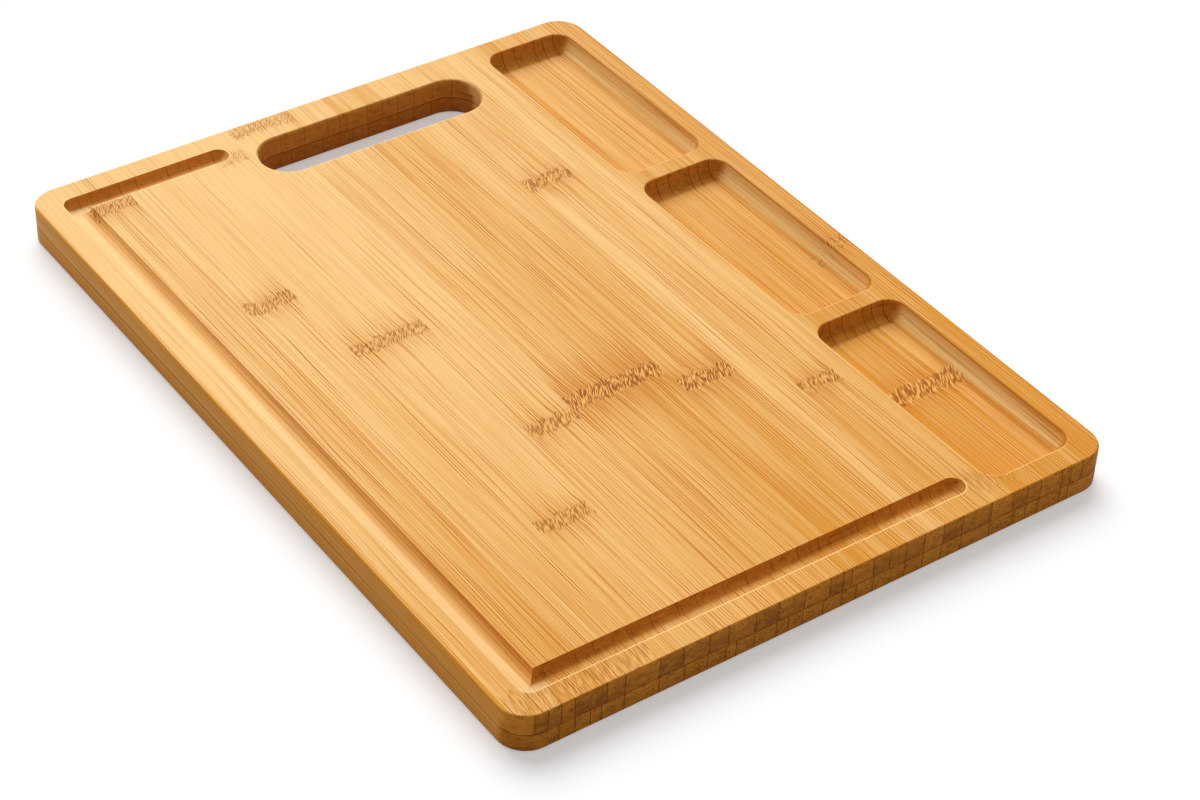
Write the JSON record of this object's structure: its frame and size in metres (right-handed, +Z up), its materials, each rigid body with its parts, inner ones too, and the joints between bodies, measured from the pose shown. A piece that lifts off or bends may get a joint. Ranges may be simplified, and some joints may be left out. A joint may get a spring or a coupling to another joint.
{
  "type": "bamboo cutting board with trays",
  "caption": "Rectangular laminated bamboo cutting board with a handle slot, a C-shaped juice groove and a column of routed trays along one side.",
  "frame": {"origin": "on the surface the board lies on, under the middle of the board", "axes": "+X across the strips to the side with the trays, +Y along the strips to the end with the handle slot, +Z up out of the cutting face"},
  "size_m": [0.32, 0.43, 0.02],
  "materials": {
    "bamboo_pale": "oiled bamboo, satin",
    "bamboo_natural": "oiled bamboo, satin",
    "bamboo_deep": "oiled bamboo, satin",
    "bamboo_base": "oiled bamboo, satin"
  },
  "bodies": {
    "root": {"top_strip_01": "bamboo_pale", "top_strip_02": "bamboo_pale", "top_strip_03": "bamboo_natural", "top_strip_04": "bamboo_natural", "top_strip_05": "bamboo_natural", "top_strip_06": "bamboo_natural", "top_strip_07": "bamboo_natural", "top_strip_08": "bamboo_pale", "top_strip_09": "bamboo_natural", "top_strip_10": "bamboo_natural", "top_strip_11": "bamboo_pale", "top_strip_12": "bamboo_pale", "top_strip_13": "bamboo_deep", "top_strip_14": "bamboo_deep", "top_strip_15": "bamboo_deep", "top_strip_16": "bamboo_deep", "top_strip_17": "bamboo_deep", "top_strip_18": "bamboo_natural", "top_strip_19": "bamboo_pale", "top_strip_20": "bamboo_pale", "top_strip_21": "bamboo_natural", "top_strip_22": "bamboo_pale", "top_strip_23": "bamboo_natural", "top_strip_24": "bamboo_pale", "top_strip_25": "bamboo_natural", "top_strip_26": "bamboo_natural", "top_strip_27": "bamboo_deep", "top_strip_28": "bamboo_deep", "top_strip_29": "bamboo_natural", "top_strip_30": "bamboo_natural", "base_strip_01": "bamboo_base", "base_strip_02": "bamboo_base", "base_strip_03": "bamboo_base", "base_strip_04": "bamboo_base", "base_strip_05": "bamboo_base", "base_strip_06": "bamboo_base", "base_strip_07": "bamboo_base", "base_strip_08": "bamboo_base", "base_strip_09": "bamboo_base", "base_strip_10": "bamboo_base", "base_strip_11": "bamboo_base", "base_strip_12": "bamboo_base", "base_strip_13": "bamboo_base", "base_strip_14": "bamboo_base", "base_strip_15": "bamboo_base", "base_strip_16": "bamboo_base", "base_strip_17": "bamboo_base", "base_strip_18": "bamboo_base", "base_strip_19": "bamboo_base", "base_strip_20": "bamboo_base", "base_strip_21": "bamboo_base", "base_strip_22": "bamboo_base", "base_strip_23": "bamboo_base", "base_strip_24": "bamboo_base", "base_strip_25": "bamboo_base", "base_strip_26": "bamboo_base", "base_strip_27": "bamboo_base", "base_strip_28": "bamboo_base", "base_strip_29": "bamboo_base"}
  },
  "joints": []
}
